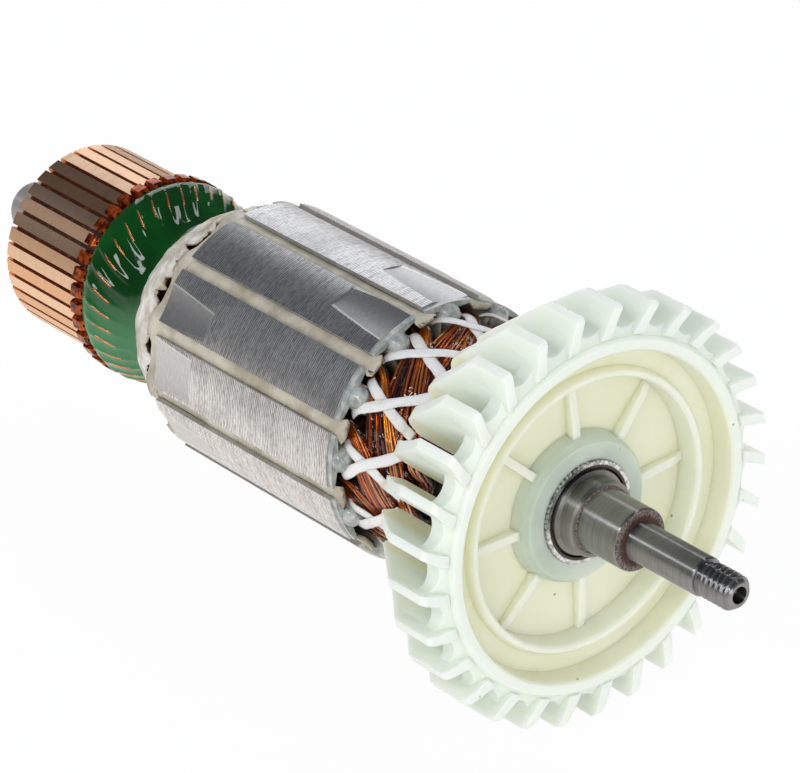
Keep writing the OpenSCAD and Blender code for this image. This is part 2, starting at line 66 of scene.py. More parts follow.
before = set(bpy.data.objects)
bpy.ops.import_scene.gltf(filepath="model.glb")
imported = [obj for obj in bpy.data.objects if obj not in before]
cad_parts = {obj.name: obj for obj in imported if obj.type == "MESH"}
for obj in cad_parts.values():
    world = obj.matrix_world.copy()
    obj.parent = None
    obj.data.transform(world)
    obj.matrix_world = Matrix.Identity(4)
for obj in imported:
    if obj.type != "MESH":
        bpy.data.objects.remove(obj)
CAD_BOX = [list(corner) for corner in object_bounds()]
MM = 0.001
TURN = 2 * math.pi


def along(node):
    """Where a node of the frame starts and ends along the shaft, to a hundredth of a millimetre."""
    return [round(corner[0] / MM, 2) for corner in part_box(node)]


SHAFT_REAR, SHAFT_FRONT = along("shaft")
COLLAR_REAR, COLLAR_FRONT = along("spacer_collar")
STACK_REAR, STACK_FRONT = along("lamination_stack")
COMMUTATOR_END, RISER_FACE = along("commutator_bars")
BINDING_REAR = along("head_binding")[0]
TRACK_END = RISER_FACE - 4.2  # where the brush track ends at the risers
STACK_R, COMMUTATOR_R = 26.0, 19.0
SHEET = 0.5  # thickness of one sheet of the core
SLOTS, TOOTH_ANGLE = 12, 26.2
SLOT_PITCH = 360 / SLOTS
SLOT_ANGLE = TOOTH_ANGLE + SLOT_PITCH / 2
OUTER_LAYER, INNER_LAYER = 21.0, 16.7  # radius of a coil's two sides in their slots
BAR_COUNT, BAR_ANGLE = 36, 2.3
BAR_PITCH = 360 / BAR_COUNT
FACING = 142.0  # the angle round the shaft that is turned to the camera

# Settings that many shader nodes share
SMOOTH = {"interpolation_type": "SMOOTHSTEP"}
COLOUR = {"data_type": "RGBA"}


def linear(code):
    """An sRGB hex colour as linear red, green, blue and alpha."""
    parts = [int(code[i : i + 2], 16) / 255 for i in (1, 3, 5)]
    return tuple(c / 12.92 if c <= 0.04045 else ((c + 0.055) / 1.055) ** 2.4 for c in parts) + (1.0,)


def fill(socket, value):
    """Links an input to a socket, or sets it to a number, a vector or a hex colour."""
    if isinstance(value, bpy.types.NodeSocket):
        socket.id_data.links.new(value, socket)
    else:
        socket.default_value = linear(value) if isinstance(value, str) else value


def add_node(tree, kind, *values, stops=(), **named):
    """Adds a shader node and gives its first live output.

    Values fill its live inputs in order, a keyword with a capital fills the input of that name,
    and any other keyword is a setting of the node. Stops are the places and colours of a ramp.
    """
    node = tree.nodes.new("ShaderNode" + kind)
    for key, value in named.items():
        if key[0].isupper():
            fill(node.inputs[key.replace("_", " ")], value)
        else:
            setattr(node, key, value)
    for socket, value in zip([socket for socket in node.inputs if socket.enabled], values):
        fill(socket, value)
    while stops and len(node.color_ramp.elements) < len(stops):
        node.color_ramp.elements.new(0.5)
    for element, (place, colour) in zip(node.color_ramp.elements if stops else (), stops):
        element.position = place
        element.color = linear(colour)
    return next((socket for socket in node.outputs if socket.enabled), None)


def new_finish(name, **sockets):
    """A material, a function that adds nodes to it, and its shader with fixed values on its sockets."""
    material = bpy.data.materials.new(name)
    material.use_nodes = True
    material.node_tree.nodes.clear()
    add = partial(add_node, material.node_tree)
    shader = add("BsdfPrincipled", **sockets).node
    add("OutputMaterial", shader.outputs[0])
    return material, add, shader


def round_coordinates(add):
    """Object coordinates turned into place along the shaft, angle from the facing side, and radius.

    The angle is in radians, so that angle x radius is a length round the shaft in metres.
    """
    place = add("TexCoord").node.outputs["Object"]
    turned = add("Mapping", place, Rotation=(-math.radians(FACING), 0, 0))
    x, y, z = add("SeparateXYZ", turned).node.outputs
    angle = add("Math", z, y, operation="ARCTAN2")
    radius = add("VectorMath", add("CombineXYZ", 0.0, y, z), operation="LENGTH")
    rolled = add("CombineXYZ", x, add("Math", angle, radius, operation="MULTIPLY"), radius)
    return SimpleNamespace(place=place, x=x, angle=angle, radius=radius, rolled=rolled)


def marks(add, vector, per_mm, detail=3.0, rough=0.5):
    """Noise with so many marks in a millimetre, alike along all axes or one number for each."""
    scale = [count / MM for count in np.broadcast_to(per_mm, 3)]
    scaled = add("VectorMath", vector, scale, operation="MULTIPLY")
    return add("TexNoise", scaled, 1.0, detail, rough)


def stain(add, base, pattern, start, full, colour, share=1.0):
    """Lays a colour over another where a pattern goes from start to full, at most by a share."""
    much = add("MapRange", pattern, start, full, 0.0, share, **SMOOTH)
    return add("Mix", much, base, colour, **COLOUR)


def emboss(add, shader, height, strength, depth):
    """Gives the shader relief from a height of 0 to 1, of a depth in millimetres."""
    fill(shader.inputs["Normal"], add("Bump", Strength=strength, Distance=depth * MM, Height=height))


def turn_grooves(add, shader, place):
    """Lets turned metal spread its shine across its grooves: along the shaft, and outward on end faces."""
    across = add("VectorMath", place, (0, 1, 1), (0.02, 0, 0), operation="MULTIPLY_ADD")
    fill(shader.inputs["Tangent"], across)


def place_mesh(name, points, faces, material, nodes, merge=False, strand=None):
    """Makes a piece from points in millimetres and lists of face corners, and puts it on the part.

    Strand, where given, is a shade for each point, which the wires' enamel reads: each wire's own tone with
    painted shade.
    """
    mesh = bpy.data.meshes.new(name)
    corners = [corner for block in faces for corner in np.asarray(block).tolist()]
    mesh.from_pydata((np.asarray(points).reshape(-1, 3) * MM).tolist(), [], corners)
    mesh.materials.append(material)
    if strand is not None:
        layer = mesh.attributes.new("strand", "FLOAT", "POINT")
        layer.data.foreach_set("value", np.asarray(strand, dtype=np.float32).ravel())
    if merge:
        shape = bmesh.new()
        shape.from_mesh(mesh)
        bmesh.ops.remove_doubles(shape, verts=shape.verts, dist=1e-7)
        bmesh.ops.dissolve_degenerate(shape, edges=shape.edges, dist=1e-8)
        shape.to_mesh(mesh)
        shape.free()
    mesh.polygons.foreach_set("use_smooth", np.ones(len(mesh.polygons), dtype=bool))
    mesh.update()
    piece = bpy.data.objects.new(name, mesh)
    bpy.context.scene.collection.objects.link(piece)
    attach(piece, "root")
    if nodes:
        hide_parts(*nodes)


def bevelled_copy(name, node, material, width, sharpest):
    """A copy of a solid's mesh with shared corners and whole flat faces, whose edges are bevelled.

    The bevel has a width in metres and takes edges sharper than an angle in degrees.
    """
    shape = bmesh.new()
    shape.from_mesh(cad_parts[node].data)
    bmesh.ops.remove_doubles(shape, verts=shape.verts, dist=1e-6)
    bmesh.ops.dissolve_limit(shape, angle_limit=math.radians(0.8), verts=shape.verts, edges=shape.edges)
    mesh = bpy.data.meshes.new(name)
    shape.to_mesh(mesh)
    shape.free()
    mesh.materials.clear()
    mesh.materials.append(material)
    mesh.polygons.foreach_set("use_smooth", np.ones(len(mesh.polygons), dtype=bool))
    mesh.set_sharp_from_angle(angle=math.radians(32))
    piece = bpy.data.objects.new(name, mesh)
    bpy.context.scene.collection.objects.link(piece)
    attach(piece, "root")
    bevel = piece.modifiers.new("edges", "BEVEL")
    bevel.width, bevel.segments, bevel.limit_method = width, 2, "ANGLE"
    bevel.angle_limit = math.radians(sharpest)
    return piece


def dress(material, *nodes):
    """Gives solids of the part a finish on their own material slots."""
    for name in nodes:
        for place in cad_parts[name].material_slots:
            place.material = material


def ring_faces(rows, columns, copies=1):
    """Corners of the four-sided faces that join closed rings row to row, for copies laid out alike."""
    row = np.arange(rows - 1)[:, None] * columns
    column = np.arange(columns)[None, :]
    after = (column + 1) % columns
    one = np.stack([row + column, row + after, row + columns + after, row + columns + column], -1)
    shift = np.arange(copies)[:, None, None] * rows * columns
    return (one.reshape(1, -1, 4) + shift).reshape(-1, 4)


def tube_faces(paths, steps, sides):
    """Faces of capped tubes laid out as (paths, steps, sides)."""
    first = np.arange(paths)[:, None] * steps * sides
    ring = np.arange(sides)[None, :]
    return [ring_faces(steps, sides, paths), first + ring[:, ::-1], first + ring + (steps - 1) * sides]


def numbered(name):
    """The nodes of one kind that the part has at every slot."""
    return [f"{name}_{i}" for i in range(1, SLOTS + 1)]


def full_turn(columns):
    """Angles of so many columns round the shaft, in degrees."""
    return np.arange(columns) * 360 / columns


def from_nearest(angle, pitch):
    """How far an angle is from the nearest whole number of pitches, in degrees."""
    return (angle + pitch / 2) % pitch - pitch / 2


def on_shaft(x, angle, r):
    """Points from a place along the shaft, an angle in degrees and a radius."""
    x, a, r = np.broadcast_arrays(x, np.radians(angle), r)
    return np.stack([x, r * np.cos(a), r * np.sin(a)], -1)


def rounded(corners, radius, steps=4):
    """A profile whose inner corners are rounded: each is replaced by a quadratic curve.

    The curve starts and ends a radius from the corner, or less where a side is short.
    """
    p = np.asarray(corners, dtype=float)
    inner, before, after = p[1:-1], p[:-2], p[2:]
    size = np.broadcast_to(np.asarray(radius, dtype=float), (len(inner),))
    reach_in = np.minimum(size, 0.45 * np.linalg.norm(before - inner, axis=1))[:, None]
    reach_out = np.minimum(size, 0.45 * np.linalg.norm(after - inner, axis=1))[:, None]
    start = inner + (before - inner) / np.linalg.norm(before - inner, axis=1)[:, None] * reach_in
    end = inner + (after - inner) / np.linalg.norm(after - inner, axis=1)[:, None] * reach_out
    t = np.linspace(0, 1, steps + 1)[None, :, None]
    curve = start[:, None] * (1 - t) ** 2 + 2 * inner[:, None] * t * (1 - t) + end[:, None] * t**2
    return np.vstack([p[:1], curve.reshape(-1, 2), p[-1:]])


def turned_points(profile, columns):
    """A profile of [place, radius] rows carried round the shaft."""
    return on_shaft(profile[:, :1], full_turn(columns), profile[:, 1:])


def tube_points(centres, up, width, height, sides):
    """Elliptic rings round many paths at once.

    centres and up are (paths, steps, 3). Each ring lies across its path: one axis of the ellipse
    is the part of up that is square to the path, and the other is square to both.
    """
    forward = np.gradient(centres, axis=1)
    forward /= np.linalg.norm(forward, axis=-1, keepdims=True)
    up = up - (up * forward).sum(-1, keepdims=True) * forward
    up /= np.linalg.norm(up, axis=-1, keepdims=True)
    across = np.cross(up, forward)
    t = np.arange(sides) * TURN / sides
    cos, sin = np.cos(t)[:, None], np.sin(t)[:, None]
    width = np.broadcast_to(width, centres.shape[:2])[:, :, None, None]
    height = np.broadcast_to(height, centres.shape[:2])[:, :, None, None]
    return centres[:, :, None] + across[:, :, None] * cos * width / 2 + up[:, :, None] * sin * height / 2


def smooth_noise(rng, shape, size, spread):
    """Random offsets that change slowly along the last axis: white noise averaged over its neighbours."""
    steps = shape[-1]
    raw = rng.normal(size=shape[:-1] + (steps + 2 * spread,))
    kernel = np.hanning(2 * spread + 3)[1:-1]
    kernel /= np.sqrt((kernel**2).sum())
    index = np.arange(steps)[:, None] + np.arange(2 * spread + 1)[None, :]
    return (raw[..., index] * kernel).sum(-1) * size


def round_noise(rng, count, size, spread):
    """Smooth random offsets round a closed ring, which fade to nothing where its ends meet."""
    offsets = smooth_noise(rng, (count * 2,), size, spread)[:count]
    steps = np.arange(count)
    return offsets * np.minimum(1, np.minimum(steps, steps[::-1]) / (2 * spread))


def mottled(name, deep, pale, per_mm, detail=3.0, rough=0.6, start=0.35, full=0.65, relief=None, **sockets):
    """A finish that goes from one colour to another in clouds.

    Relief, where given, is the strength and the depth in millimetres of the clouds as a bump.
    """
    material, add, shader = new_finish(name, **sockets)
    cloud = marks(add, add("TexCoord").node.outputs["Object"], per_mm, detail, rough)
    fill(shader.inputs["Base Color"], stain(add, deep, cloud, start, full, pale))
    if relief:
        emboss(add, shader, cloud, *relief)
    return material


def ground_steel(name, deep, pale, rough, film_at=()):
    """Cylindrically ground steel: bright along the shaft, with faint rings of grinding marks.

    Faces that stand square to the shaft at the places given keep the brown film of grease and
    rust that dries in a shoulder. With them comes the dull journal behind the commutator.
    """
    material, add, shader = new_finish(name, Metallic=1.0, Anisotropic=1.0)
    at = round_coordinates(add)
    turn_grooves(add, shader, at.place)
    rings = marks(add, at.rolled, (2.6, 0.06, 0.0), 3.0, 0.6)
    cloud = marks(add, at.place, 0.28, 4.0, 0.65)
    base = stain(add, deep, rings, 0.3, 0.7, pale)
    base = stain(add, base, cloud, 0.5, 0.72, "#6E6A66", 0.4)
    # Painted shade: darker within about 1.6 mm of the axis, inside the centre hole and also at the middle of
    # the rear end face
    hole_shade_radii = (1.7 * MM, 1.55 * MM)
    base = stain(add, base, at.radius, *hole_shade_radii, "#5A534E")
    if film_at:
        grime = marks(add, at.place, 2.6, 4.0, 0.7)
        film = 0.0
        for place in film_at:
            near = add("Math", at.x, place * MM, 0.22 * MM, operation="COMPARE")
            film = add("Math", near, film, operation="MAXIMUM")
        patchy = add("MapRange", grime, 0.2, 0.45, 0.55, 1.0, **SMOOTH)
        film = add("Math", film, patchy, operation="MULTIPLY")
        brown = stain(add, "#2A1512", grime, 0.4, 0.62, "#604138")
        grey = stain(add, "#463833", grime, 0.4, 0.62, "#8E837C")
        brown = stain(add, brown, at.radius, 4.4 * MM, 5.2 * MM, grey)
        base = add("Mix", film, base, brown, **COLOUR)
        journal = add("MapRange", at.x, -157.6 * MM, -158.0 * MM, **SMOOTH)
        base = add("Mix", journal, base, "#ABA9A5", **COLOUR)
        dulled = add("MapRange", journal, 0.0, 1.0, 0.0, 0.62, **SMOOTH)
        film = add("Math", film, dulled, operation="MAXIMUM")
        fill(shader.inputs["Metallic"], add("MapRange", film, 0.0, 1.0, 1.0, 0.1, **SMOOTH))
        rough = add("MapRange", film, 0.0, 1.0, rough, 0.65, **SMOOTH)
    else:
        rough = add("MapRange", rings, 0.2, 0.8, rough, rough + 0.1, **SMOOTH)
    fill(shader.inputs["Roughness"], rough)
    fill(shader.inputs["Base Color"], base)
    emboss(add, shader, rings, 0.12, 0.01)
    return material


def knurled_steel():
    """Machined insert: a bright turned rim, and a bore broached with fine teeth, painted near-black as shade.
    """
    material, add, shader = new_finish("knurled_insert_steel", Metallic=1.0, Roughness=0.28)
    at = round_coordinates(add)
    teeth = add("Math", add("Math", at.angle, 110.0, operation="MULTIPLY"), operation="SINE")
    mottle = marks(add, at.place, 0.9, 3.0, 0.6)
    rim = stain(add, "#A6A6A8", mottle, 0.35, 0.65, "#F0F0F2")
    # Painted shade: the bore is near-black, as shade inside it, with lighter stripes for its fine teeth
    bore = stain(add, "#1D1A18", teeth, -0.4, 0.6, "#6F6B66")
    fill(shader.inputs["Base Color"], stain(add, rim, at.radius, 9.2 * MM, 9.0 * MM, bore))
    emboss(add, shader, mottle, 0.2, 0.05)
    return material


def core_steel():
    """Stacked electrical steel sheets, turned true: a dark grey comb with one line for each sheet.

    Each sheet has its own shade. The tool left brighter smears round the shaft, each over two or
    three sheets. Where a tooth was ground to balance the part its radius is smaller, and there the
    sheets are smeared to a smooth satin, with a painted highlight in a near-white band at its edge.
    """
    material, add, shader = new_finish("ground_core_sheets", Metallic=1.0, Anisotropic=0.4)
    at = round_coordinates(add)
    turn_grooves(add, shader, at.place)
    sheet = add("Math", at.x, 1 / (SHEET * MM), operation="MULTIPLY")
    number = add("Math", sheet, operation="FLOOR")
    shade = add("TexWhiteNoise", number, noise_dimensions="1D")
    joint = add("Math", add("Math", sheet, operation="FRACT"), 0.5, operation="PINGPONG")
    joint = add("MapRange", joint, 0.02, 0.22, **SMOOTH)
    hatch = marks(add, at.rolled, (2.6, 0.7, 0.0), 4.0, 0.7)
    grain = marks(add, at.rolled, (3.0, 2.6, 0.0), 2.0, 0.6)
    smear = marks(add, at.rolled, (0.8, 0.09, 0.0), 4.0, 0.6)
    patch = marks(add, at.rolled, (0.06, 0.11, 0.0), 3.0, 0.6)
    tone = add("Math", shade, 0.12, hatch, operation="MULTIPLY_ADD")
    tone = add("Math", joint, 0.36, tone, operation="MULTIPLY_ADD")
    worn = add("ValToRGB", tone, stops=((0.54, "#76787D"), (0.78, "#CFCFD2"), (0.98, "#F6F6F7")))
    smear = add("MapRange", smear, 0.54, 0.66, **SMOOTH)
    bright = add("MapRange", patch, 0.5, 0.66, 0.0, 0.6, **SMOOTH)
    worn = add("Mix", add("Math", smear, bright, operation="MULTIPLY"), worn, "#F4F4F6", **COLOUR)
    worn = stain(add, worn, patch, 0.5, 0.35, "#84868B", 0.25)
    satin = stain(add, "#CACBCE", hatch, 0.3, 0.7, "#DEDFE1")
    ground = add("MapRange", at.radius, (STACK_R - 0.03) * MM, (STACK_R - 0.1) * MM, **SMOOTH)
    # Painted highlight: a near-white band just inside the edge of the ground part of a tooth
    lip_highlight = add("MapRange", at.radius, (STACK_R - 0.14) * MM, (STACK_R - 0.07) * MM, **SMOOTH)
    lip_highlight = add("Math", lip_highlight, ground, operation="MULTIPLY")
    base = add("Mix", ground, worn, satin, **COLOUR)
    fill(shader.inputs["Base Color"], add("Mix", lip_highlight, base, "#FBFAF6", **COLOUR))
    fill(shader.inputs["Roughness"], add("MapRange", grain, 0.3, 0.7, 0.35, 0.44, **SMOOTH))
    height = add("Math", grain, 0.4, tone, operation="MULTIPLY_ADD")
    flatter = add("MapRange", ground, 0.0, 1.0, 1.0, 0.15, **SMOOTH)
    emboss(add, shader, add("Math", height, flatter, operation="MULTIPLY"), 0.32, 0.06)
    return material


def cream_board(name, deep, pale):
    """Cream insulating board, moulding or tape soaked in varnish: pale, waxy, slightly stained."""
    return mottled(name, deep, pale, 0.18, 5.0, 0.65, 0.3, 0.7, (0.4, 0.3), Roughness=0.38, IOR=1.5)


def varnish_bead():
    """Beads of clear grey varnish on the moulded posts: smooth, milky and wet."""
    return mottled("varnished_grey_bead", "#8E9592", "#C3C6C0", 0.42, 4.0, relief=(0.3, 0.3),
                   Roughness=0.12, IOR=1.5, Coat_Weight=0.6, Coat_Roughness=0.04)


def enamelled_wire():
    """Enamelled copper wire under impregnating varnish: amber to red-brown, wet and glossy.

    The varnish pools over several wires, so its own surface faces mostly outward from the shaft,
    with slow dips, whatever wire lies below it.
    """
    material, add, shader = new_finish("varnished_winding_wire", Metallic=0.8, Roughness=0.22,
                                       Coat_Weight=1.0, Coat_Roughness=0.06, Coat_IOR=1.8)
    shade = add("Attribute", attribute_name="strand").node.outputs["Fac"]
    place = add("TexCoord").node.outputs["Object"]
    pool = marks(add, place, 0.24, 3.0, 0.6)
    # The strand's shade picks the colour: the dark end of the ramp is painted shade on the wires' sides and
    # lower layers, and the bright end is their lit outer side
    base = add("ValToRGB", shade, stops=((0.0, "#0C0200"), (0.3, "#661A00"), (0.56, "#EA6606"),
                                         (0.88, "#FFB040")))
    fill(shader.inputs["Base Color"], stain(add, base, pool, 0.56, 0.76, "#240B04", 0.6))
    emboss(add, shader, pool, 0.3, 0.2)
    outward = add("VectorMath", place, (0, 1, 1), operation="MULTIPLY")
    outward = add("VectorMath", outward, operation="NORMALIZE")
    dips = add("TexNoise", place, 0.42 / MM, 1.0).node.outputs["Color"]
    dips = add("VectorMath", dips, (2.4, 2.4, 2.4), (-1.1, -1.2, -1.2), operation="MULTIPLY_ADD")
    outward = add("VectorMath", outward, dips, operation="ADD")
    wire = add("NewGeometry").node.outputs["Normal"]
    outward = add("Mix", 0.25, outward, wire, data_type="VECTOR")
    fill(shader.inputs["Coat Normal"], add("VectorMath", outward, operation="NORMALIZE"))
    return material


def bare_lead():
    """Scraped ends of the leads, which stay bright copper above the resin."""
    return mottled("scraped_lead_copper", "#D2743A", "#F4AE78", 0.5, Metallic=0.9, Roughness=0.25,
                   Coat_Weight=0.5, Coat_Roughness=0.05)


def shaded_coil_body():
    """The body of each coil under its outer wires, painted near-black brown as the shade among them."""
    return new_finish("coil_body_painted_shade", Base_Color="#1D0B05", Roughness=0.2)[0]


def white_sleeving():
    """Flattened woven sleeving soaked in clear varnish: white, wet and stained here and there."""
    material, add, shader = new_finish("white_woven_sleeving", Roughness=0.38, Subsurface_Weight=0.4,
                                       Subsurface_Scale=0.8 * MM, Subsurface_Radius=(1.0, 1.0, 0.9),
                                       Coat_Weight=0.6, Coat_Roughness=0.12)
    place = add("TexCoord").node.outputs["Object"]
    fibre = marks(add, place, 2.6, 3.0, 0.6)
    blotch = marks(add, place, 0.15, 4.0, 0.6)
    base = stain(add, "#F4F3F0", blotch, 0.5, 0.72, "#D2C9B4", 0.8)
    fill(shader.inputs["Base Color"], stain(add, base, fibre, 0.5, 0.7, "#B4B4B3", 0.25))
    emboss(add, shader, fibre, 0.6, 0.2)
    return material


def green_resin(tint):
    """Green casting resin: deep and glossy as glass, brighter at the binding, with a painted reflection of
    the floor that makes its lower side paler.
    """
    material, add, shader = new_finish("green_casting_resin", Roughness=0.06, IOR=1.5,
                                       Coat_Weight=0.15, Coat_Roughness=0.02)
    at = round_coordinates(add)
    cloud = marks(add, at.place, 0.09, 3.0, 0.5)
    base = stain(add, "#01360B", cloud, 0.35, 0.65, (*tint, 1.0))
    # Painted reflection: the side below the one facing the camera is paler, as the white floor mirrored in it
    base = stain(add, base, at.angle, 0.25, 1.0, "#37804F", 0.85)
    at_binding = ((BINDING_REAR - 2.75) * MM, (BINDING_REAR - 0.25) * MM)
    fill(shader.inputs["Base Color"], stain(add, base, at.x, *at_binding, "#1B8420"))
    emboss(add, shader, cloud, 0.12, 0.6)
    return material


def turned_copper(tint):
    """Turned copper bars: bright peach metal with fine rings, each bar with its own shade of tarnish."""
    material, add, shader = new_finish("turned_copper_bar", Anisotropic=0.92)
    at = round_coordinates(add)
    turn_grooves(add, shader, at.place)
    count = add("Math", at.angle, math.radians(BAR_ANGLE - FACING), operation="SUBTRACT")
    count = add("Math", count, math.radians(BAR_PITCH), operation="DIVIDE")
    count = add("Math", count, operation="ROUND")
    shade = add("TexWhiteNoise", count, noise_dimensions="1D")
    rings = marks(add, at.rolled, (3.6, 0.12, 0.0), 3.0, 0.6)
    cloud = marks(add, at.place, 0.26, 4.0, 0.65)
    fresh = stain(add, "#EFBE97", shade, 0.0, 1.0, (*tint, 1.0))
    fresh = stain(add, fresh, rings, 0.5, 0.75, "#B87A5C", 0.2)
    fresh = stain(add, fresh, cloud, 0.55, 0.75, "#9A6048", 0.2)
    # The cut flanks between the bars are below the track, and stay raw
    below = ((COMMUTATOR_R - 0.05) * MM, (COMMUTATOR_R - 0.15) * MM)
    fresh = stain(add, fresh, at.radius, *below, "#E08A5A")
    # Hooks and the ends of the bars behind the track are under wet brown varnish
    above = ((COMMUTATOR_R + 0.08) * MM, (COMMUTATOR_R + 0.16) * MM)
    hook = add("MapRange", at.radius, *above, **SMOOTH)
    behind = add("MapRange", at.x, (TRACK_END + 0.6) * MM, (TRACK_END + 0.9) * MM, **SMOOTH)
    varnished = add("Math", hook, behind, operation="MAXIMUM")
    amber = stain(add, "#4E1405", marks(add, at.place, 0.7, 2.0), 0.35, 0.65, "#B4501A")
    fill(shader.inputs["Base Color"], add("Mix", varnished, fresh, amber, **COLOUR))
    rough = add("MapRange", rings, 0.3, 0.7, 0.27, 0.34, **SMOOTH)
    fill(shader.inputs["Roughness"], add("Mix", varnished, rough, 0.1))
    fill(shader.inputs["Metallic"], add("MapRange", varnished, 0.0, 1.0, 1.0, 0.5, **SMOOTH))
    emboss(add, shader, rings, 0.05, 0.02)
    return material


def gold_tang():
    """Tips of the bars' wire slots: pale gold and shiny, and mostly not metallic, so that their pale colour
    is partly a painted glint.
    """
    return mottled("bar_tang_painted_glint", "#E8A868", "#FFE2B0", 0.7, Metallic=0.3, Roughness=0.2)


def moulded_black():
    """Dark brown moulding compound between the bars: matt and dusty with copper."""
    return mottled("dark_moulding_compound", "#4A2616", "#8A5436", 0.9, 3.0, 0.5, 0.5, 0.75, Roughness=0.6)


def natural_nylon(tint, dish):
    """Natural glass-filled nylon: milky, see-through at its edges, and yellower where it is thick.

    The flat floors of the dish are yellow, and the ribs, the ring and the rim are paler. The hub is a greyer
    green, partly its own see-through colour and partly painted shade.
    """
    material, add, shader = new_finish("moulded_natural_nylon", Roughness=0.4, IOR=1.53,
                                       Subsurface_Weight=0.9, Subsurface_Scale=2.5 * MM,
                                       Subsurface_Radius=(1.0, 1.0, 0.8))
    at = round_coordinates(add)
    cloud = marks(add, at.place, 0.07, 3.0, 0.5)
    fibre = marks(add, at.place, 1.5, 3.0, 0.6)
    outside = add("MapRange", at.radius, 31.2 * MM, 32.2 * MM, **SMOOTH)
    raised = add("MapRange", at.x, -7.9 * MM, -6.6 * MM, 0.0, 0.45, **SMOOTH)
    in_dish = add("MapRange", at.radius, 27.5 * MM, 26.2 * MM, **SMOOTH)
    raised = add("Math", raised, in_dish, operation="MULTIPLY")
    pale = add("Math", outside, raised, operation="MAXIMUM")
    base = add("Mix", pale, (*dish, 1.0), (*tint, 1.0), **COLOUR)
    # The hub is greyer green: partly its own colour, partly painted shade
    base = stain(add, base, at.radius, 15.0 * MM, 13.6 * MM, "#BECABA")
    base = stain(add, base, cloud, 0.4, 0.7, "#EEF0E4", 0.3)
    speck = add("TexVoronoi", at.place, 0.13 / MM)
    base = stain(add, base, speck, 0.045, 0.03, "#5A5446", 0.6)
    fill(shader.inputs["Base Color"], base)
    emboss(add, shader, fibre, 0.15, 0.08)
    return material


class ShaftSettings(bpy.types.PropertyGroup):
    thread_pitch: bpy.props.FloatProperty(
        name="Thread pitch", description="Distance between the threads at the driven end",
        default=0.00125, min=0.0005, max=0.002, precision=5, subtype="DISTANCE", unit="LENGTH")
    thread_depth: bpy.props.FloatProperty(
        name="Thread depth", description="Depth of the thread below its crest",
        default=0.0005, min=0.0002, max=0.0008, precision=5, subtype="DISTANCE", unit="LENGTH")


class WindingSettings(bpy.types.PropertyGroup):
    wire: bpy.props.FloatProperty(
        name="Wire", description="Diameter of one enamelled wire",
        default=0.00058, min=0.0003, max=0.001, precision=5, subtype="DISTANCE", unit="LENGTH")
    across: bpy.props.IntProperty(
        name="Wires across", description="Wires side by side in a coil's bundle", default=11, min=3, max=12)
    deep: bpy.props.IntProperty(
        name="Layers", description="Layers of wire that show in a coil's bundle", default=3, min=1, max=4)


class CommutatorSettings(bpy.types.PropertyGroup):
    copper: bpy.props.FloatVectorProperty(
        name="Copper", description="Colour of a freshly turned bar",
        default=linear("#FDD8B8")[:3], size=3, min=0, max=1, subtype="COLOR")


class ResinSettings(bpy.types.PropertyGroup):
    green: bpy.props.FloatVectorProperty(
        name="Green", description="Colour of the casting resin",
        default=linear("#034813")[:3], size=3, min=0, max=1, subtype="COLOR")


class FanSettings(bpy.types.PropertyGroup):
    edge: bpy.props.FloatProperty(
        name="Edge radius", description="Rounding of the fan's moulded edges",
        default=0.00035, min=0.0001, max=0.0006, precision=5, subtype="DISTANCE", unit="LENGTH")
    blades: bpy.props.FloatVectorProperty(
        name="Blades", description="Colour of the blades and the rim",
        default=linear("#E6ECE2")[:3], size=3, min=0, max=1, subtype="COLOR")
    dish: bpy.props.FloatVectorProperty(
        name="Dish", description="Colour of the dish inside the rim",
        default=linear("#E6E6CC")[:3], size=3, min=0, max=1, subtype="COLOR")


class StudioSettings(bpy.types.PropertyGroup):
    world: bpy.props.FloatProperty(
        name="Room light", description="Strength of the even light from all round",
        default=0.98, min=0, max=2)
    room: bpy.props.FloatProperty(
        name="Dark room", description="Strength of the room's upper half as metal reflects it",
        default=0.1, min=0, max=2)
    key: bpy.props.FloatProperty(
        name="Back light", description="Power of the large lamp above and behind",
        default=2.5, min=0, max=100, unit="POWER")


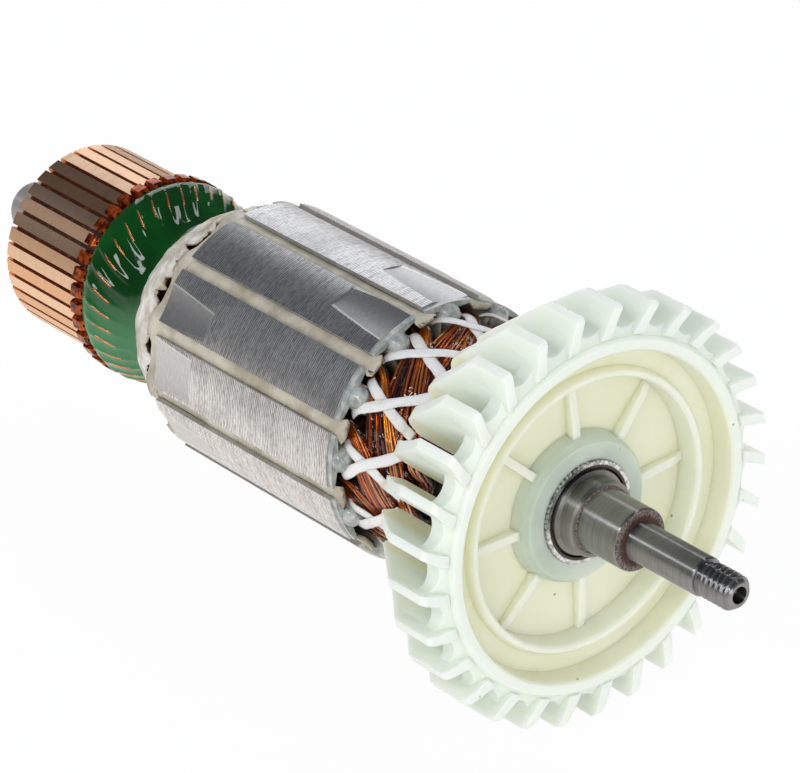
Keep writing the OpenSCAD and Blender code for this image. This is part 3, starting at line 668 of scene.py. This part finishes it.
class BuildShaft(bpy.types.Operator):
    """Builds the ground shaft with its thread, and finishes the collar and the fan's insert"""

    bl_idname = "armature.build_shaft"
    bl_label = "Shaft"

    def execute(self, context):
        settings = context.scene.armature_shaft
        pitch, depth = settings.thread_pitch / MM, settings.thread_depth / MM
        rear_step, seat_end, thread_start, thread_end = -164.75, 10.1, 27.3, SHAFT_FRONT - 0.9
        crest, root, tip, centre_hole = 3.4, 3.2, 2.9, 1.6
        relief = COMMUTATOR_END + 2
        shoulders = (COLLAR_FRONT + 0.05, seat_end, rear_step)
        steel = ground_steel("ground_shaft_steel", "#8F8F93", "#A0A0A3", 0.3, shoulders)
        rear_part = rounded([
            [SHAFT_REAR, 0], [SHAFT_REAR, 3.8], [SHAFT_REAR + 1.2, 5.0], [rear_step, 5.0], [rear_step, 5.75],
            [relief, 5.75], [relief, 7.0], [COLLAR_REAR, 7.0], [COLLAR_REAR, 6.5], [COLLAR_FRONT, 6.5],
            [COLLAR_FRONT, 6.0], [seat_end - 0.4, 6.0], [seat_end, 5.6], [seat_end, 3.7],
            [thread_start - 0.3, 3.7], [thread_start, crest], [thread_start, 2.85],
            [thread_start + 1.0, 2.85], [thread_start + 1.5, root]], 0.15)
        front_part = rounded([
            [thread_end, 3.0], [SHAFT_FRONT - 0.25, 2.55], [SHAFT_FRONT, 2.2], [SHAFT_FRONT, centre_hole],
            [SHAFT_FRONT - 2.2, centre_hole], [SHAFT_FRONT - 3.8, 0]], 0.12)
        # The thread's outline: a ramp up and down over each pitch, faded out at both ends
        columns = 96
        steps = np.linspace(thread_start + 1.5, thread_end, 110)[:, None]
        phase = (steps / pitch - full_turn(columns) / 360) % 1.0
        flank = np.clip(np.abs(phase * 2 - 1) * 1.5 - 0.2, 0, 1)
        fade = np.clip((steps - thread_start - 1.4) / 0.6, 0, 1)
        taper = np.clip(SHAFT_FRONT - 0.3 - steps, 0, 1)
        body = on_shaft(steps, full_turn(columns), tip + (crest - tip) * taper - depth * flank * fade)
        points = np.concatenate([turned_points(rear_part, columns), body, turned_points(front_part, columns)])
        place_mesh("ground_shaft", points, [ring_faces(len(points), columns)], steel, ["shaft"],
                   merge=True)
        dress(ground_steel("turned_collar_steel", "#8C8C89", "#A9A9A6", 0.36), "spacer_collar")
        dress(knurled_steel(), "fan_insert")
        return {"FINISHED"}


class BuildCore(bpy.types.Operator):
    """Finishes the core's sheets, and builds the strips that close the slots and the rear flange"""

    bl_idname = "armature.build_core"
    bl_label = "Core"

    def execute(self, context):
        rng = np.random.default_rng(3)
        dress(core_steel(), "lamination_stack")
        board = cream_board("varnished_cream_board", "#A89F8A", "#CFC8B6")
        dress(board, "shaft_sleeve", *numbered("slot_liner"))
        dress(varnish_bead(), "drive_end_plate")

        # Strips: a closed band with a domed top, which widens and curls where it leaves the stack.
        # Its front end is torn, and t runs over the top from side to side and back underneath.
        steps, over, under = 60, 25, 7
        front_reach, rear_reach, bed, half_width = 2.7, 3.2, 24.85, 1.42
        u = np.linspace(0, 1, steps)
        length = STACK_FRONT + front_reach - STACK_REAR + rear_reach
        x = (STACK_REAR - rear_reach + length * (1 - (1 - u) ** 1.35))[:, None]
        t = np.concatenate([np.linspace(-1, 1, over), np.linspace(1, -1, under + 2)[1:-1]])
        top = np.arange(len(t)) < over
        flare = np.clip((x - STACK_FRONT) / front_reach, 0, 1)
        rear = np.clip((STACK_REAR - x) / rear_reach, 0, 1)
        torn = np.repeat(rng.normal(0, 0.5, (SLOTS, 1, over // 3 + 2)), 3, -1)[..., :over]
        torn = np.concatenate([torn, np.zeros((SLOTS, 1, under))], -1)
        wave = smooth_noise(rng, (SLOTS, 1, steps), 0.05, 5).transpose(0, 2, 1)
        half = half_width + 0.95 * flare**1.3 + 1.2 * rear
        dome = np.where(top, 0.28 * (1 - t**2), -0.55)
        curl = np.where(top, 1, 0.6) * (0.75 * flare * np.abs(t) ** 2.5)
        slot = np.arange(SLOTS)[:, None, None]
        angle = SLOT_ANGLE + slot * SLOT_PITCH + np.degrees(t * half / 25)
        r = bed + dome + wave + curl - 0.25 * flare + 0.15 * rear
        points = on_shaft(x + torn * flare**2 * 0.8, angle, r)
        place_mesh("slot_closing_strips", points, tube_faces(SLOTS, steps, len(t)), board,
                   numbered("slot_wedge"))

        # Flange: a rounded ring that stands out in a lobe at each slot
        columns, lobe_height = 480, 1.5
        near, far, inner, outer = STACK_REAR - 0.1, STACK_REAR - 3.5, 20.5, 25.35
        off = from_nearest(full_turn(columns) - SLOT_ANGLE, SLOT_PITCH)
        lobe = lobe_height * (np.exp(-((off / 8.5) ** 4)) - 1) + round_noise(rng, columns, 0.06, 6)
        profile = rounded([
            [near, inner], [far, inner], [far - 0.05, outer - 0.1], [near, outer], [near, inner]],
            [0.3, 1.5, 0.2], 6)[::-1]
        place, r = profile[:, :1], profile[:, 1:]
        reach = np.clip((r - inner - 1) / 3, 0, 1)
        place = place + 0.25 * lobe * (place < STACK_REAR - 2)
        points = on_shaft(place, full_turn(columns), r + lobe * reach)
        place_mesh("commutator_end_flange", points, [ring_faces(len(profile), columns)], board,
                   ["commutator_end_plate"], merge=True)
        return {"FINISHED"}


def head_paths(face, side, heights, taper, steps):
    """Middle lines of wires in a coil's head, as (wires, steps) of [place, angle, radius].

    Each wire runs out of the first slot, slants straight round the shaft to its own height while
    the radius falls by the taper, turns over at the nose into the lower layer and slants back down
    to the second slot. Wires of different heights fan out from the slot's mouth. The corners are
    rounded by averaging neighbours.
    """
    half_span, mouth, nose = 2.5 * SLOT_PITCH, 1.6, 0.9
    share = np.array([0.0, 0.0, 0.25, 0.55, 0.909, 0.985, 1.015, 1.091, 1.45, 1.75, 2.0, 2.0])
    lift = np.array([-2.0, mouth, 0, 0, 0, 0, 0, 0, 0, 0, mouth, -2.0])
    climb = np.array([0, 0, 0.42, 0.76, 0.95, 1, 1, 0.95, 0.76, 0.42, 0, 0])
    middle = (OUTER_LAYER + INNER_LAYER) / 2
    layer = np.array([OUTER_LAYER] * 5 + [middle + nose, middle - nose] + [INNER_LAYER] * 5)
    high = np.asarray(heights, dtype=float)[:, None]
    x = np.where(climb > 0, mouth + (high - mouth) * climb, lift)
    corners = np.stack(np.broadcast_arrays(x, share * half_span, layer - taper * climb), -1)
    # One degree round the head is about 0.33 mm
    size = np.linalg.norm(np.diff(corners * [1, 0.33, 1], axis=1), axis=2)
    place = np.concatenate([np.zeros((len(high), 1)), np.cumsum(size, axis=1)], 1)
    at = np.linspace(0, 1, steps) * place[:, -1:]
    # Linear interpolation along every wire at once: the corner before each step, and the share beyond it
    before = (at[:, :, None] >= place[:, None, 1:-1]).sum(-1)
    wire = np.arange(len(high))[:, None]
    beyond = (at - place[wire, before]) / (place[wire, before + 1] - place[wire, before])
    path = corners[wire, before] + (corners[wire, before + 1] - corners[wire, before]) * beyond[..., None]
    for _ in range(2):
        path[:, 1:-1] = (path[:, :-2] + path[:, 1:-1] * 2 + path[:, 2:]) / 4
    path[..., 0] = face + side * path[..., 0]
    return path


def head_strands(rng, face, side, height, taper, settings, steps, deep):
    """Wires of all coils at one end, as centres, outward directions and a shade for each.

    Wires lie side by side by their heights and in layers towards the shaft, each moved a little
    by slow random wandering.
    """
    wire, across = settings.wire / MM, settings.across
    lowest, degrees_apart, above_middle = 0.4, 0.9, 1.5
    path = head_paths(face, side, height * np.linspace(lowest, 1, across), taper, steps)
    shape = (SLOTS, deep, across, steps)
    coil = np.arange(SLOTS)[:, None, None, None]
    row = np.arange(deep)[None, :, None, None]
    column = np.arange(across)[None, None, :, None] - (across - 1) / 2
    along_wire = np.linspace(0, 1, steps)
    in_slot = np.clip(1 - along_wire * 9, 0, 1) + np.clip(along_wire * 9 - 8, 0, 1)
    angle = path[..., 1] + SLOT_ANGLE + coil * SLOT_PITCH
    angle = angle - column * degrees_apart * side * (1 - in_slot * 0.3) + smooth_noise(rng, shape, 0.35, 6)
    x = path[..., 0] + side * 0.5 * (row % 2) * wire + smooth_noise(rng, shape, 0.14, 6)
    wander = np.clip(smooth_noise(rng, shape, 0.12, 5), -0.3, 0.2)
    r = path[..., 2] + above_middle - row * wire * 0.9 + wander
    r = r + 0.25 * rng.random((SLOTS, deep, across, 1)) - 0.15
    # Each wire has its own random shade, and each layer nearer the shaft is painted darker by a tenth, as
    # shade under the layers above it
    shade = np.clip(rng.normal(0.55, 0.25, size=shape[:-1] + (1,)) - 0.1 * row + np.zeros(shape), 0, 1)
    wires = (SLOTS * deep * across, steps)
    centres, outward = on_shaft(x, angle, r), on_shaft(0, angle, 1.0)
    return centres.reshape(*wires, 3), outward.reshape(*wires, 3), shade.reshape(wires)


class BuildWinding(bpy.types.Operator):
    """Builds the coil heads as single enamelled wires over a body painted dark as the shade among them"""

    bl_idname = "armature.build_winding"
    bl_label = "Winding"

    def execute(self, context):
        settings = context.scene.armature_winding
        rng = np.random.default_rng(7)
        wire = settings.wire / MM
        front_taper, rear_taper = 2.3, 4.2
        enamel = enamelled_wire()
        # Painted shade: a wire is darker on its sides and underside, and bright on its outer side only
        steps, sides = 38, 6
        crest = np.clip(0.25 + np.sin(np.arange(sides) * TURN / sides), 0.05, 1)
        for name, face, side, height, taper, deep, nodes in (
                ("drive_end_wires", STACK_FRONT, 1, 18.3, front_taper, settings.deep, numbered("coil")),
                ("commutator_end_wires", STACK_REAR, -1, 13.6, rear_taper, 1, ())):
            centres, up, shade = head_strands(rng, face, side, height, taper, settings, steps, deep)
            points = tube_points(centres, up, wire, wire, sides)
            place_mesh(name, points, tube_faces(len(centres), steps, sides), enamel, nodes,
                       strand=shade[..., None] * crest)
        # Bodies: one thick flat strand for each coil and end, a little inside the wires, painted dark as
        # shade
        steps, sides, width, thickness = 40, 8, 3.4, 2.6
        bodies = []
        for face, side, height, taper in (
                (STACK_FRONT, 1, 17.5, front_taper), (STACK_REAR, -1, 13.2, rear_taper)):
            path = head_paths(face, side, [height * 0.88], taper, steps)[0]
            angle = path[:, 1] + SLOT_ANGLE + np.arange(SLOTS)[:, None] * SLOT_PITCH
            bodies.append((on_shaft(path[:, 0], angle, path[:, 2] - 0.4), on_shaft(0, angle, 1.0)))
        middle, outward = (np.concatenate(both) for both in zip(*bodies))
        points = tube_points(middle, outward, width, thickness, sides)
        place_mesh("coil_bodies", points, tube_faces(len(middle), steps, sides), shaded_coil_body(), ())
        return {"FINISHED"}


def head_outline(x):
    """Radius of the drive-end coil head's outer surface at a place along the shaft."""
    return OUTER_LAYER + 2.4 - 2.3 * (x - STACK_FRONT) / 17.5


class BuildLacing(bpy.types.Operator):
    """Builds the crossed white sleeving and the binding of the coil heads"""

    bl_idname = "armature.build_lacing"
    bl_label = "Lacing"

    def execute(self, context):
        rng = np.random.default_rng(21)
        # Sleeving: two layers of flat tubes that cross, each from a tooth's edge up the coil head
        steps, sides, start, length = 40, 14, STACK_FRONT + 0.5, 15.4
        u = np.linspace(0, 1, steps)
        x = start + length * u
        rows = []
        for layer, (first, turn) in enumerate(((-9.2, 14.5), (8.5, -25.0))):
            for tooth in range(SLOTS):
                sway = smooth_noise(rng, (steps,), 0.5, 9)
                angle = TOOTH_ANGLE + tooth * SLOT_PITCH + first + turn * u + sway
                dip = 0.25 * np.sin(np.pi * u) + layer * 0.6 * (1 - u) ** 4
                r = head_outline(x) + 0.15 + layer * 0.55 - dip * 0.3 - 1.6 * (1 - u) ** 12
                rows.append((on_shaft(x, angle, r), on_shaft(0, angle, 1.0)))
        centres, up = (np.stack(both) for both in zip(*rows))
        width = 2.05 + smooth_noise(rng, (len(rows), steps), 0.14, 3)
        height = 0.75 + smooth_noise(rng, (len(rows), steps), 0.05, 2)
        points = tube_points(centres, up, width, height, sides)
        place_mesh("lacing_sleeving", points, tube_faces(len(rows), steps, sides), white_sleeving(),
                   ["lacing_tape"])

        # Ragged band: a sleeve round the coil head whose surface is folded and whose rim is torn.
        # Its outline is in distances from its rear end, and goes out along the top and back below.
        columns = 540
        outline = rounded([
            [9.75, 22.3], [9.85, 23.0], [6.75, 22.1], [3.0, 20.4], [0.05, 18.3], [0, 17.5], [3.0, 19.7],
            [6.75, 21.3], [9.75, 22.3]], 0.4, 5)
        place, r = outline[:, :1], outline[:, 1:]
        rim = np.clip((place - 6.25) / 3.6, 0, 1)
        tear = round_noise(rng, columns, 0.5, 4) + round_noise(rng, columns, 0.35, 1)
        fold = np.stack([round_noise(rng, columns, 0.10, 7) for _ in range(len(outline))])
        fold[-1] = fold[0]
        fold = fold + round_noise(rng, columns, 0.2, 16)
        points = on_shaft(BINDING_REAR + place + tear * rim, full_turn(columns), r + fold)
        place_mesh("head_binding_tape", points, [ring_faces(len(outline), columns)[:, ::-1]],
                   cream_board("varnished_binding_tape", "#B5A78E", "#EDEAE2"), ["head_binding"],
                   merge=True)
        return {"FINISHED"}


def squared_off(value):
    """Makes a sine or cosine steeper near nought by sign(value) |value|^0.4, for a rounded block."""
    return np.sign(value) * np.abs(value) ** 0.4


class BuildCommutator(bpy.types.Operator):
    """Finishes the copper bars and the compound that holds them"""

    bl_idname = "armature.build_commutator"
    bl_label = "Commutator"

    def execute(self, context):
        copper = turned_copper(context.scene.armature_commutator.copper)
        piece = bevelled_copy("turned_commutator_bars", "commutator_bars", copper, 0.11 * MM, 35)
        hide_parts("commutator_bars")
        dress(moulded_black(), "commutator_mould")

        # Tangs: the small bright end of each wire slot, in front of the hook; rounded blocks by the
        # formula of a superellipsoid, with a half length, half width and half height
        rows, columns = 9, 12
        half_length, half_width, half_height = 0.5, 0.55, 0.32
        lift = np.linspace(-np.pi / 2, np.pi / 2, rows)[:, None]
        turn = np.arange(columns) * TURN / columns
        bar = np.arange(BAR_COUNT)[:, None, None]
        x = TRACK_END + 0.45 + half_length * squared_off(np.cos(lift)) * squared_off(np.cos(turn))
        side = half_width * squared_off(np.cos(lift)) * squared_off(np.sin(turn))
        r = COMMUTATOR_R + 0.1 + half_height * squared_off(np.sin(lift))
        points = on_shaft(x, BAR_ANGLE + bar * BAR_PITCH + np.degrees(side / COMMUTATOR_R), r)
        place_mesh("bar_tangs", points, [ring_faces(rows, columns, BAR_COUNT)], gold_tang(), (),
                   merge=True)
        return {"FINISHED"}


RESIN_PROFILE = np.array([
    [0.0, 20.35], [1.0, 20.6], [2.0, 20.65], [3.4, 20.3], [5.2, 19.75], [7.0, 18.9], [8.6, 17.8],
    [10.2, 16.9], [11.6, 16.35], [12.8, 16.25], [14.0, 16.7], [15.0, 17.6], [15.4, 18.15]])


def resin_radius(x):
    """Radius of the resin's smooth surface, read from its outline by distance behind the risers."""
    return np.interp(x - RISER_FACE, RESIN_PROFILE[:, 0], RESIN_PROFILE[:, 1])


def lead_angle(x):
    """How far round a lead has swept at a place along the shaft, in degrees."""
    return np.interp(x - RISER_FACE, [0, 1.5, 4, 6.5, 9.5], [0, 0.5, 4, 8, 12.5])


def resin_wave(x, angle):
    """Slow waves round the cap where the resin sagged as it set: two sines that fade at both rims."""
    wave = 0.10 * np.sin(np.radians(3 * angle + 40)) + 0.07 * np.sin(np.radians(7 * angle + 10))
    return wave * np.interp(x - RISER_FACE, [0, 4, 12, 15.4], [0, 1, 1, 0])


class BuildResin(bpy.types.Operator):
    """Builds the green resin with a ridge over each lead, and the leads that show through it"""

    bl_idname = "armature.build_resin"
    bl_label = "Resin"

    def execute(self, context):
        rng = np.random.default_rng(5)
        rows, columns, hidden_r = 90, 720, 9.0
        x = np.linspace(RISER_FACE, BINDING_REAR, rows)
        profile = resin_radius(x)
        profile[2:-2] = np.convolve(profile, np.array([1, 2, 3, 2, 1]) / 9, "valid")
        x, profile, angle = x[:, None], profile[:, None], full_turn(columns)
        # Ridge over each lead: a rounded rise across its swept path, fading out down the slope
        ridge_height, ridge_width, sunk = 0.38, 2.0, 0.28
        off = from_nearest(angle - BAR_ANGLE - lead_angle(x), BAR_PITCH)
        fade = np.interp(x - RISER_FACE, [0, 1.5, 3.0, 7.5, 10.5], [0, 0.35, 1, 0.7, 0])
        ridge = ridge_height * np.exp(-((off / ridge_width) ** 2)) * fade
        outer = on_shaft(x, angle, profile - sunk + ridge + resin_wave(x, angle))
        inner = on_shaft(np.array([[BINDING_REAR], [RISER_FACE]]), angle, hidden_r)
        points = np.concatenate([outer, inner, outer[:1]])
        place_mesh("cast_resin_cap", points, [ring_faces(len(points), columns)],
                   green_resin(context.scene.armature_resin.green), ["resin_cap"], merge=True)

        # Leads: round wires that lie in the tops of the ridges and sink away at both ends, the
        # further one by a few thousandths of a millimetre more or less
        steps, sides, thickness, length = 26, 8, 0.56, 9.4
        place = np.linspace(TRACK_END + 1.9, RISER_FACE + length, steps)
        lead = np.arange(BAR_COUNT)[:, None]
        deeper = (0.012 * rng.random((BAR_COUNT, 1)) - 0.005) * np.linspace(0, 1, steps)
        sink = np.interp(place - RISER_FACE, [-2.5, 0, 2, 3.4, 6.5, length],
                         [-0.9, -0.75, -0.55, -0.16, -0.22, -0.9])
        wander = smooth_noise(rng, (BAR_COUNT, steps), 0.2, 6)
        swept = BAR_ANGLE + lead * BAR_PITCH + lead_angle(place) + wander
        r = resin_radius(np.maximum(place, RISER_FACE)) + sink + resin_wave(place, swept) - deeper
        points = tube_points(on_shaft(place, swept, r), on_shaft(0, swept, 1.0), thickness, thickness, sides)
        place_mesh("coil_lead_wires", points, tube_faces(BAR_COUNT, steps, sides),
                   bare_lead(), ["coil_leads"])
        return {"FINISHED"}


class BuildFan(bpy.types.Operator):
    """Rounds the moulded edges of the fan and gives it its milky plastic"""

    bl_idname = "armature.build_fan"
    bl_label = "Fan"

    def execute(self, context):
        settings = context.scene.armature_fan
        nylon = natural_nylon(settings.blades, settings.dish)
        piece = bevelled_copy("moulded_fan", "fan", nylon, settings.edge, 32)
        piece.modifiers["edges"].harden_normals = True
        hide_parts("fan")
        return {"FINISHED"}


def set_up(name, data, place, aim):
    """Puts a camera or a lamp at a place in metres, turned to face along a direction."""
    holder = bpy.data.objects.new(name, data)
    holder.location = place
    holder.rotation_mode = "QUATERNION"
    holder.rotation_quaternion = Vector(aim).to_track_quat("-Z", "Y")
    bpy.context.scene.collection.objects.link(holder)
    return holder


def studio_room(settings):
    """The room's even light.

    It is soft for dull surfaces, stronger and warmer near the horizon. The eye and glass see
    white, and so does metal near the horizon, where the pale sweep rises behind the floor; above
    it metal sees a dim room.
    """
    world = bpy.data.worlds.new("studio_room")
    world.use_nodes = True
    world.node_tree.nodes.clear()
    add = partial(add_node, world.node_tree)
    rays = add("LightPath").node.outputs
    sky = add("TexCoord").node.outputs["Generated"]
    _, side, height = add("SeparateXYZ", sky).node.outputs
    sweep = add("MapRange", side, -0.4, 0.2, 0.5, 1.0, **SMOOTH)
    edge = add("MapRange", side, -0.2, 0.5, 0.12, 0.22, **SMOOTH)
    mirrored = add("MapRange", height, 0.0, edge, sweep, settings.room, **SMOOTH)
    soft = add("MapRange", height, 0.05, 0.7, settings.world * 1.42, settings.world * 0.53, **SMOOTH)
    direct = add("Math", rays["Is Camera Ray"], rays["Is Transmission Ray"], operation="MAXIMUM")
    power = add("Mix", direct, add("Mix", rays["Is Glossy Ray"], soft, mirrored), 1.0)
    tone = stain(add, "#FFFBF3", height, 0.0, 0.4, "#EFF4FF")
    tone = add("Mix", direct, tone, "#FFFFFF", **COLOUR)
    add("OutputWorld", add("Background", tone, power))
    return world


def pale_floor():
    """The floor's finish: matt paper that glows white to the camera, apart from a soft shadow.

    Metal sees it fade on the camera's side, where the sweep ends. A part of the white reaches dull
    surfaces too, as from a sheet lit from behind.
    """
    material, add, shader = new_finish("pale_studio_floor", Base_Color="#FDFDFD", Roughness=0.9)
    rays = add("LightPath").node.outputs
    side = add("SeparateXYZ", add("TexCoord").node.outputs["Object"]).node.outputs["Y"]
    fade = add("MapRange", side, -0.3, -0.03, 0.6, 1.0, **SMOOTH)
    bright = add("Mix", rays["Is Glossy Ray"], 1.0, fade)
    tone = add("Mix", rays["Is Glossy Ray"], "#FFFFFF", "#FFF8F0", **COLOUR)
    seen = add("Math", rays["Is Camera Ray"], rays["Is Glossy Ray"], operation="MAXIMUM")
    pale = add("Mix", seen, 0.35, 0.95)
    mixed = add("MixShader", pale, shader.outputs[0], add("Emission", tone, bright))
    fill(material.node_tree.nodes["Material Output"].inputs["Surface"], mixed)
    return material


class BuildStudio(bpy.types.Operator):
    """Makes the camera, the lamps and the pale floor"""

    bl_idname = "armature.build_studio"
    bl_label = "Studio"

    def execute(self, context):
        settings = context.scene.armature_studio
        scene = context.scene
        scene.view_settings.view_transform = "Standard"
        eye = bpy.data.cameras.new("studio_camera")
        eye.lens, eye.sensor_width = 213.2, 36
        eye.clip_start, eye.clip_end = 0.05, 20
        scene.camera = set_up("studio_camera", eye, Vector((550.5, -492.9, 390.9)) * MM,
                                   (-0.69599, 0.56512, -0.44299))
        scene.world = studio_room(settings)

        # The floor lies under the lowest blade
        size, low = 3.0, CAD_BOX[0][2]
        mesh = bpy.data.meshes.new("studio_floor")
        mesh.from_pydata([(-size, -size, low), (size, -size, low), (size, size, low), (-size, size, low)],
                         [], [(0, 1, 2, 3)])
        mesh.materials.append(pale_floor())
        floor = bpy.data.objects.new("studio_floor", mesh)
        scene.collection.objects.link(floor)

        middle = Vector((-0.07, 0, 0))
        for name, place, size, power in (
                ("back_softbox", (-1.1, 0.67, 0.62), (0.75, 0.75), 1.0),
                ("top_softbox", (0.0, 0.52, 1.05), (0.4, 0.2), 0.45),
                ("right_softbox", (1.15, -0.4, 0.14), (0.8, 0.5), 1.35),
                ("front_softbox", (0.15, -0.84, 0.66), (0.8, 0.14), 1.0)):
            lamp = bpy.data.lights.new(name, "AREA")
            lamp.shape, lamp.size, lamp.size_y = "RECTANGLE", *size
            lamp.energy = settings.key * power
            set_up(name, lamp, place, middle - Vector(place))
        return {"FINISHED"}


class ArmaturePanel(bpy.types.Panel):
    """Lists the settings and the build steps of the armature"""

    bl_idname = "VIEW3D_PT_armature_looks"
    bl_label = "Armature"
    bl_space_type = "VIEW_3D"
    bl_region_type = "UI"
    bl_category = "Armature"

    def draw(self, context):
        for key in SETTINGS:
            box = self.layout.box()
            group = getattr(context.scene, key)
            for name in group.__annotations__:
                box.prop(group, name)
        for step in STEPS:
            self.layout.operator(step.bl_idname)


SETTINGS = {
    "armature_shaft": ShaftSettings,
    "armature_winding": WindingSettings,
    "armature_commutator": CommutatorSettings,
    "armature_resin": ResinSettings,
    "armature_fan": FanSettings,
    "armature_studio": StudioSettings,
}
STEPS = (BuildStudio, BuildShaft, BuildCore, BuildWinding, BuildLacing, BuildCommutator, BuildResin, BuildFan)


def register():
    for key, group in SETTINGS.items():
        bpy.utils.register_class(group)
        setattr(bpy.types.Scene, key, bpy.props.PointerProperty(type=group))
    for item in (*STEPS, ArmaturePanel):
        bpy.utils.register_class(item)


def unregister():
    for item in (ArmaturePanel, *reversed(STEPS)):
        bpy.utils.unregister_class(item)
    for key, group in SETTINGS.items():
        delattr(bpy.types.Scene, key)
        bpy.utils.unregister_class(group)


def main():
    """Builds every piece in order."""
    register()
    for step in STEPS:
        getattr(bpy.ops.armature, step.bl_idname.split(".")[1])()


if __name__ == "__main__":
    main()
